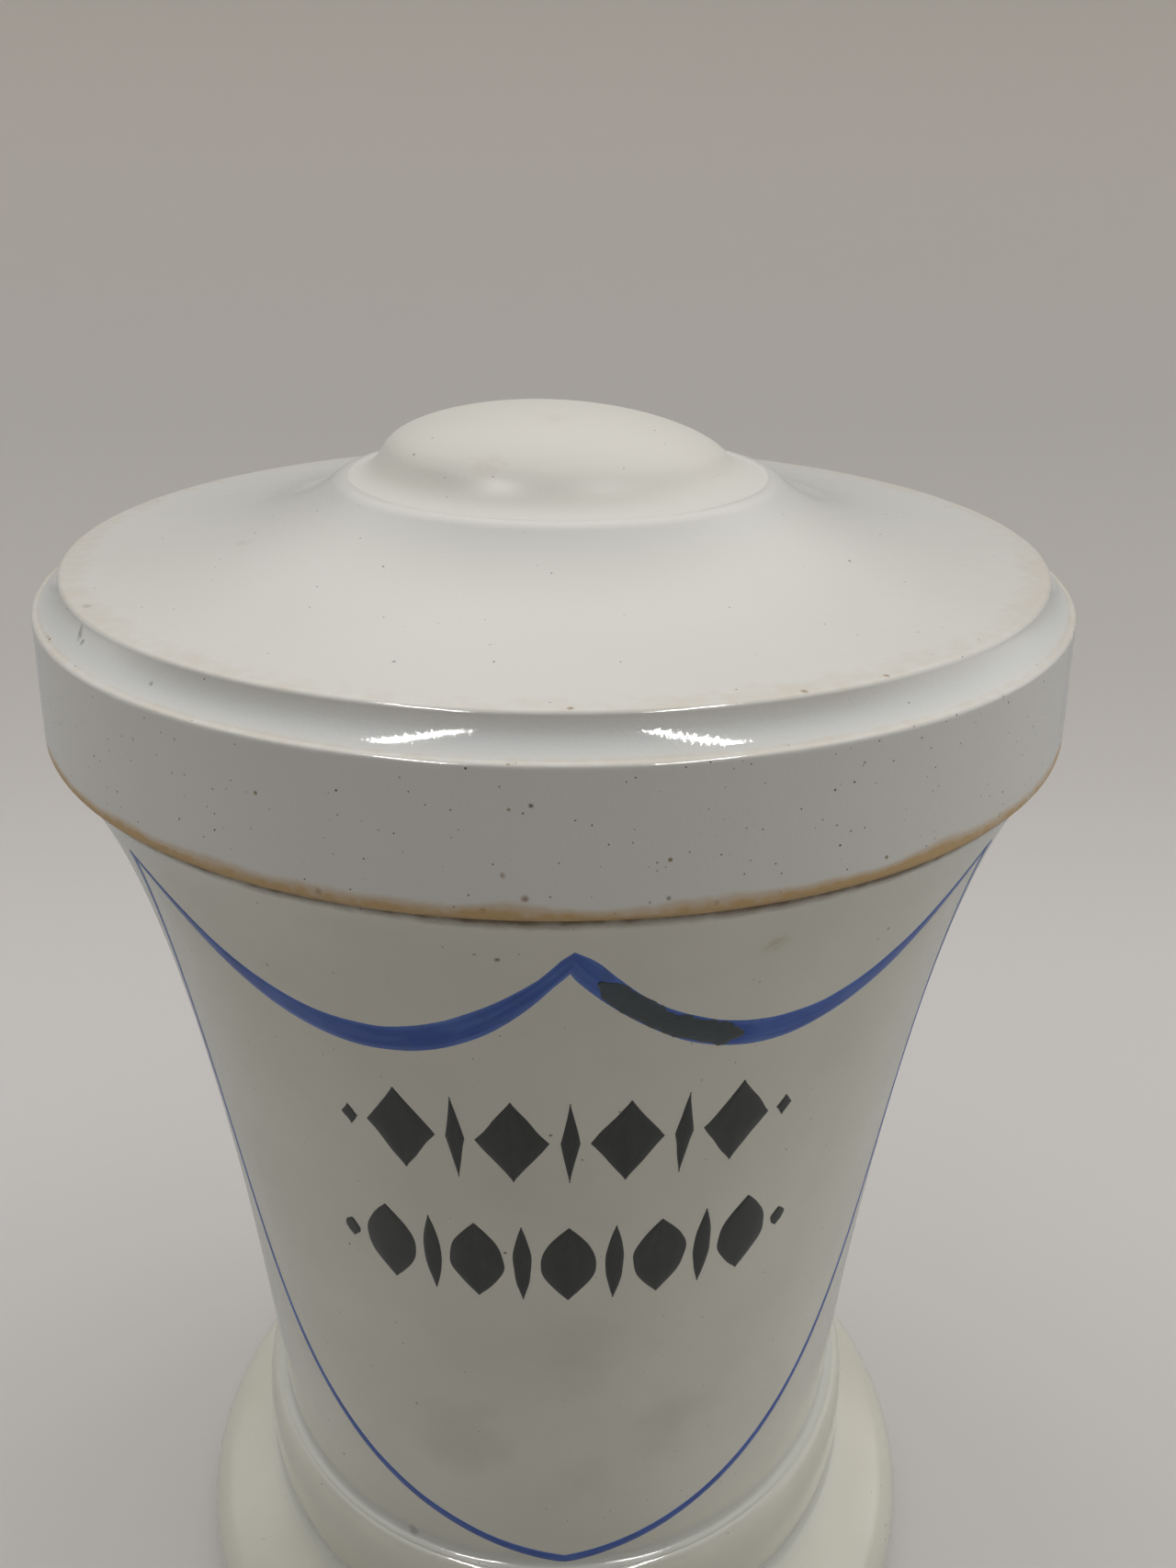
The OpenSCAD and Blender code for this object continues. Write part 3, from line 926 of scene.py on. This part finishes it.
jar_marks = (
    (20.9, 51.9, 125.7, 2.6, OCHRE, 0.30), (-5.5, 52.2, 126.4, 0.6, DARK, 0.7),
    (-7.5, 52.4, 126.9, 0.5, DARK, 0.6), (-27.0, 39.2, 32.1, 1.6, DARK, 0.35),
    (-15.9, 40.7, 54.5, 14.0, GREY, 0.42), (18.6, 40.8, 55.8, 13.0, GREY, 0.48),
    (1.8, 41.9, 69.2, 12.0, GREY, 0.32), (4.0, 40.3, 47.0, 11.0, GREY, 0.32),
    (155.0, 42.5, 75.0, 13.0, GREY, 0.35), (-120.0, 41.0, 60.0, 0.7, DARK, 0.7))
lid_porcelain = porcelain("lid_porcelain_clear_glaze", "#dcdad4", "#d8dcde", 0.08, "#bf9d66",
                          0.07, lid_marks)
knob_porcelain = porcelain("knob_porcelain_glaze_worn_by_hands", "#dbd8d0", "#d8dcde", 0.08,
                           "#c4a672", 0.38, knob_marks)
# On the jar, this brown also paints the shade under the lid's rim.
jar_porcelain = porcelain("jar_porcelain_clear_glaze", "#dbd9cc", "#c9cbc6", 0.30, "#75644a",
                          0.08, jar_marks)
for piece, material in ((lid_cover, lid_porcelain), (lid_knob, knob_porcelain),
                        (jar_body, jar_porcelain), (jar_foot, jar_porcelain)):
    piece.data.materials.append(material)
print("porcelain on", lid_cover.name, lid_knob.name, jar_body.name, jar_foot.name)

# %% [markdown]
# ## Brushed enamels
#
# Enamel is coloured glass, so it is glossy, a little less than the glaze. The brush leaves it
# thick in the middle and thin at the edges, and streaky along the stroke: thick blue is deep, and
# thin blue lets the white through. The same build serves cobalt blue, label black and the dark
# retouching, which is plain paint and duller.

# %% Brushed enamel
ENAMEL_IOR = 1.52
BRUSH_DRAG = 0.02


def enamel(name, thick, thin, other, roughness, cover):
    """thick and thin are the two ends of the colour, and other is what shows through in spots."""
    material, tree = new_material(name)
    place = add(tree, "TexCoord", output="Object")
    brush = add(tree, "Attribute", output="Vector", attribute_name="brush")

    # Streaks run along the stroke: they repeat every 9 mm along it and four times across it.
    stretched = add(tree, "VectorMath", {0: brush, 1: (0.11, 2.0, 0.0)}, operation="MULTIPLY")
    streaks = add(tree, "TexNoise", {"Vector": stretched, "Scale": 1.0, "Detail": 3.0}, "Fac")
    across = add(tree, "SeparateXYZ", {0: brush}, "Y")
    side = add(tree, "Math", {0: across}, operation="ABSOLUTE")
    thinning = add(tree, "MapRange", {0: side, 1: 0.55, 2: 1.0, 3: 0.0, 4: 0.55})
    patchy = add(tree, "TexNoise", {"Vector": place, "Scale": per_mm(7), "Detail": 2.0}, "Fac")
    load = add(tree, "Math", {0: streaks, 1: patchy}, operation="ADD")
    load = add(tree, "Math", {0: load, 1: thinning}, operation="ADD")
    thinned = add(tree, "MapRange", {0: load, 1: 0.85, 2: 1.75, 3: 0.0, 4: cover})
    colour = add(tree, "Mix", {FACTOR: thinned, COLOUR_A: linear(thick), COLOUR_B: linear(thin)},
                 MIXED, data_type="RGBA")
    worn = add(tree, "TexNoise", {"Vector": place, "Scale": per_mm(2.2), "Detail": 4.0}, "Fac")
    spots = add(tree, "MapRange", {0: worn, 1: 0.58, 2: 0.70, 3: 0.0, 4: 0.6})
    colour = add(tree, "Mix", {FACTOR: spots, COLOUR_A: colour, COLOUR_B: linear(other)},
                 MIXED, data_type="RGBA")

    drag = add(tree, "Bump", {"Height": streaks, "Strength": 1.0, "Distance": BRUSH_DRAG * MM})
    surface = add(tree, "BsdfPrincipled", {
        "Base Color": colour, "Roughness": roughness, "Normal": drag, "IOR": ENAMEL_IOR,
        "Metallic": 0.0})
    add(tree, "OutputMaterial", {"Surface": surface})
    return material


cartouche_line.data.materials.append(
    enamel("cobalt_blue_enamel_brushed", "#17459f", "#5f83c9", "#2c4f8d", 0.16, 0.8))
cartouche_retouch.data.materials.append(
    enamel("dark_retouching_paint", "#363f41", "#465668", "#2b3630", 0.42, 0.6))
black_enamel = enamel("black_enamel_brushed", "#242524", "#484a44", "#33362f", 0.22, 0.6)
label_upper.data.materials.append(black_enamel)
label_lower.data.materials.append(black_enamel)
print("enamel on the line, the patch and two label rows")

# %% [markdown]
# ## Tie the pieces to the frame
#
# Each piece stands for one imported node, which is hidden, and rides on its body. The lid and its knob
# ride together, and all the painting rides with the jar.

# %% Ride, and hide the imported node
for piece, body, node, slot in (
        (jar_body, "jar", "jar_body", "glazed_porcelain"),
        (jar_foot, "jar", "jar_foot", "glazed_porcelain"),
        (lid_cover, "lid", "lid_cover", "glazed_porcelain_lid"),
        (lid_knob, "lid", "lid_knob", "glazed_porcelain_lid"),
        (cartouche_line, "jar", "cartouche_line", "blue_enamel"),
        (cartouche_retouch, "jar", "cartouche_retouch", "dark_retouch"),
        (label_upper, "jar", "label_row_upper", "black_enamel"),
        (label_lower, "jar", "label_row_lower", "black_enamel")):
    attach(piece, body)
    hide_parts(node)

# %% [markdown]
# ## Floor and backdrop
#
# A product table is a pale sheet that lies flat under the object and sweeps up behind it, so no
# edge shows behind the jar. One outline carried sideways gives both. The glaze doesn't mirror the
# sheet itself, because the light tent further on has an even sheet of its own for reflections.

# %% Floor and backdrop
FLOOR_FRONT = -3.5
SWEEP_START = 0.18
SWEEP_R = 0.90
WALL_TOP = 1.6
HALF_WIDTH = 1.6
SWEEP_STEPS = 24
sweep = [(FLOOR_FRONT, 0.0)]
for i in range(SWEEP_STEPS + 1):
    turn = math.pi / 2 * i / SWEEP_STEPS
    sweep.append((SWEEP_START + SWEEP_R * math.sin(turn), SWEEP_R * (1 - math.cos(turn))))
sweep.append((SWEEP_START + SWEEP_R, WALL_TOP))
sheet_points = [(x, y, z) for y, z in sweep for x in (-HALF_WIDTH, HALF_WIDTH)]
sheet_faces = [(2 * i, 2 * i + 1, 2 * i + 3, 2 * i + 2) for i in range(len(sweep) - 1)]
sheet_mesh = bpy.data.meshes.new("pale_sheet")
sheet_mesh.from_pydata(sheet_points, [], sheet_faces)
sheet_mesh.shade_smooth()
pale_sheet = bpy.data.objects.new("pale_sheet", sheet_mesh)
bpy.context.scene.collection.objects.link(pale_sheet)
pale_sheet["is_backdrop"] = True
pale_sheet.visible_glossy = False

paper, paper_tree = new_material("matt_paper_with_painted_shade")
paper_place = add(paper_tree, "TexCoord", output="Object")
paper_depth = add(paper_tree, "SeparateXYZ", {0: paper_place}, "Y")
paper_and_painted_shade = linear("#cfcccb")
# Painted shade and painted light: the paper is painted darker from 8 to 34 cm behind the axis, where
# the sweep begins to rise, and lighter again from 50 to 86 cm, up the sweep.
for begin, end, shade in ((0.08, 0.34, "#c0bcb8"), (0.50, 0.86, "#d3cdc5")):
    blend = add(paper_tree, "MapRange", {0: paper_depth, 1: begin, 2: end, 3: 0.0, 4: 1.0},
                interpolation_type="SMOOTHSTEP")
    paper_and_painted_shade = add(paper_tree, "Mix", {FACTOR: blend, COLOUR_A: paper_and_painted_shade,
                                           COLOUR_B: linear(shade)}, MIXED, data_type="RGBA")
paper_surface = add(paper_tree, "BsdfPrincipled", {
    "Base Color": paper_and_painted_shade, "Roughness": 0.9, "IOR": 1.45})
add(paper_tree, "OutputMaterial", {"Surface": paper_surface})
pale_sheet.data.materials.append(paper)
print(f"the sheet is {2 * HALF_WIDTH} m wide and {WALL_TOP} m high behind the jar")

# %% [markdown]
# ## Light
#
# Two narrow lamps run front to back over the jar's front, one on each side. They show only as
# glints, such as the two bright strokes in the cove: they are kept out of the matt light, which
# all comes from the tent.

# %% Lamps
def lamp(name, place, target, width, length, watts, colour):
    data = bpy.data.lights.new(name, "AREA")
    data.shape = "RECTANGLE"
    data.size = width
    data.size_y = length
    data.energy = watts
    data.color = linear(colour)[:3]
    light = bpy.data.objects.new(name, data)
    bpy.context.scene.collection.objects.link(light)
    light.location = place
    light.rotation_euler = (Vector(target) - Vector(place)).to_track_quat("-Z", "Y").to_euler()
    return light


STRIP_Z = 0.395
STRIP_WIDTH = 0.009
STRIP_LENGTH = 0.32
STRIP_WATTS = 1.2
STRIP_Y = -0.24
for side, x in (("left", -0.125), ("right", 0.120)):
    strip = lamp("strip_" + side, (x, STRIP_Y, STRIP_Z), (x, STRIP_Y, 0.0), STRIP_WIDTH,
                 STRIP_LENGTH, STRIP_WATTS, "#fffefb")
    strip.visible_diffuse = False
    print(f"{strip.name} at {x} m")

# %% [markdown]
# ## The tent
#
# Glossy pots are lit in a tent of white cloth, because the glaze mirrors whatever stands round it.
# Here the world is the tent, and its strength depends on the direction alone: a bright ceiling,
# walls that are brighter on the right, a dark opening at the front, and the pale sheet below and
# behind. The dark front leaves the middle of the jar a little darker, which shows its roundness.
# A ray straight from the camera meets a plain room instead, so that no view shows the tent.

# %% The tent
CEILING = 1.50
WALLS = 1.04
OPENING = 0.0
SHEET = 0.34
ROOM = 0.42
RIGHT_WALL = 1.35
RIGHT_TURN = 0.40
CEILING_TILT = 0.15
OPENING_EDGE = (-0.25, 0.40)
BEHIND_EDGE = (0.25, 0.80)
BELOW_EDGE = (0.05, -0.15)
CEILING_EDGE = (0.35, 0.95)
world = bpy.data.worlds.new("light_tent")
world.use_nodes = True
tent = world.node_tree
tent.nodes.clear()


def ease(value, edge, low, high):
    """Goes smoothly from low to high while value crosses the edge."""
    return add(tent, "MapRange", {0: value, 1: edge[0], 2: edge[1], 3: low, 4: high},
               interpolation_type="SMOOTHSTEP")


toward = add(tent, "TexCoord", output="Generated")
across = add(tent, "SeparateXYZ", {0: toward}, "X")
depth = add(tent, "SeparateXYZ", {0: toward}, "Y")
height = add(tent, "SeparateXYZ", {0: toward}, "Z")
right_side = add(tent, "Math", {0: across, 1: 0.0}, operation="MAXIMUM")
facing = add(tent, "Math", {0: right_side, 1: RIGHT_TURN, 2: depth}, operation="MULTIPLY_ADD")
walls = ease(facing, OPENING_EDGE, OPENING, WALLS)
sides = add(tent, "MapRange", {0: across, 1: 0.0, 2: 1.0, 3: 1.0, 4: RIGHT_WALL})
walls = add(tent, "Math", {0: walls, 1: sides}, operation="MULTIPLY")
behind = ease(depth, BEHIND_EDGE, 0.0, 1.0)
walls = add(tent, "Mix", {FACTOR: behind, 2: walls, 3: SHEET}, data_type="FLOAT")
below = ease(height, BELOW_EDGE, 0.0, 1.0)
walls = add(tent, "Mix", {FACTOR: below, 2: walls, 3: SHEET}, data_type="FLOAT")
front = add(tent, "Math", {0: depth, 1: CEILING_TILT, 2: height}, operation="MULTIPLY_ADD")
above = ease(front, CEILING_EDGE, walls, CEILING)
seen = add(tent, "LightPath", output="Is Camera Ray")
shown = add(tent, "Mix", {FACTOR: seen, 2: above, 3: ROOM}, data_type="FLOAT")
glow = add(tent, "Background", {"Color": linear("#fdfcfa"), "Strength": shown})
add(tent, "OutputWorld", {"Surface": glow})
bpy.context.scene.world = world
print(f"the tent's ceiling is {CEILING}, its walls {WALLS} and its sheet {SHEET}")

# %% [markdown]
# ## The dark cloth behind the camera
#
# A dark cloth hangs level, higher than the camera and behind it. It keeps some of the ceiling's
# light from the skirt and the front of the lid, so they are a little darker, and it shades the
# floor below it. The camera doesn't see the cloth.

# %% The dark cloth
CLOTH_Z = 0.36
CLOTH_HALF = 0.55
CLOTH_FAR = -0.95
CLOTH_NEAR = -0.29
cloth_points = [(-CLOTH_HALF, CLOTH_FAR, CLOTH_Z), (CLOTH_HALF, CLOTH_FAR, CLOTH_Z),
                (CLOTH_HALF, CLOTH_NEAR, CLOTH_Z), (-CLOTH_HALF, CLOTH_NEAR, CLOTH_Z)]
cloth_mesh = bpy.data.meshes.new("dark_cloth")
cloth_mesh.from_pydata(cloth_points, [], [(0, 1, 2, 3)])
dark_cloth = bpy.data.objects.new("dark_cloth", cloth_mesh)
bpy.context.scene.collection.objects.link(dark_cloth)
dark_cloth.visible_camera = False
dark_cloth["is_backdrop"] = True
cloth, cloth_tree = new_material("black_cotton_cloth")
cloth_surface = add(cloth_tree, "BsdfPrincipled", {
    "Base Color": linear("#1c1c1c"), "Roughness": 1.0, "IOR": 1.45})
add(cloth_tree, "OutputMaterial", {"Surface": cloth_surface})
dark_cloth.data.materials.append(cloth)
print(f"the cloth hangs {CLOTH_Z} m over the floor")

# %% [markdown]
# ## Camera
#
# The camera stands close in front of the jar and a little above it, and looks down about 25
# degrees, with the wide lens of a hand-held camera.

# %% Camera
YAW = math.radians(1.45)
PITCH = math.radians(25.12)
ROLL = math.radians(0.713)
EYE = (0.0, -142.65, 184.8)
LENS = 29.95
SENSOR = 36.0
eye = Vector(EYE) * MM
ahead = Vector((math.sin(YAW) * math.cos(PITCH), math.cos(YAW) * math.cos(PITCH), -math.sin(PITCH)))
level_right = ahead.cross(Vector((0, 0, 1))).normalized()
level_up = level_right.cross(ahead)
right = math.cos(ROLL) * level_right + math.sin(ROLL) * level_up
up = math.cos(ROLL) * level_up - math.sin(ROLL) * level_right
camera_data = bpy.data.cameras.new("camera")
camera_data.lens = LENS
camera_data.sensor_width = SENSOR
camera_data.clip_start = 0.01
camera = bpy.data.objects.new("camera", camera_data)
bpy.context.scene.collection.objects.link(camera)
camera.matrix_world = Matrix.Translation(eye) @ Matrix((right, up, -ahead)).transposed().to_4x4()
bpy.context.scene.camera = camera
bpy.context.scene.view_settings.view_transform = "Standard"
print(f"the camera stands {-EYE[1]} mm before the axis and {EYE[2]} mm up")

visual_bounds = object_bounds()
for corner_name, cad_corner, own_corner in zip(("low", "high"), cad_bounds, visual_bounds):
    gaps = [round((b - a) / MM, 2) for a, b in zip(cad_corner, own_corner)]
    print(corner_name, gaps, "mm off the CAD box")
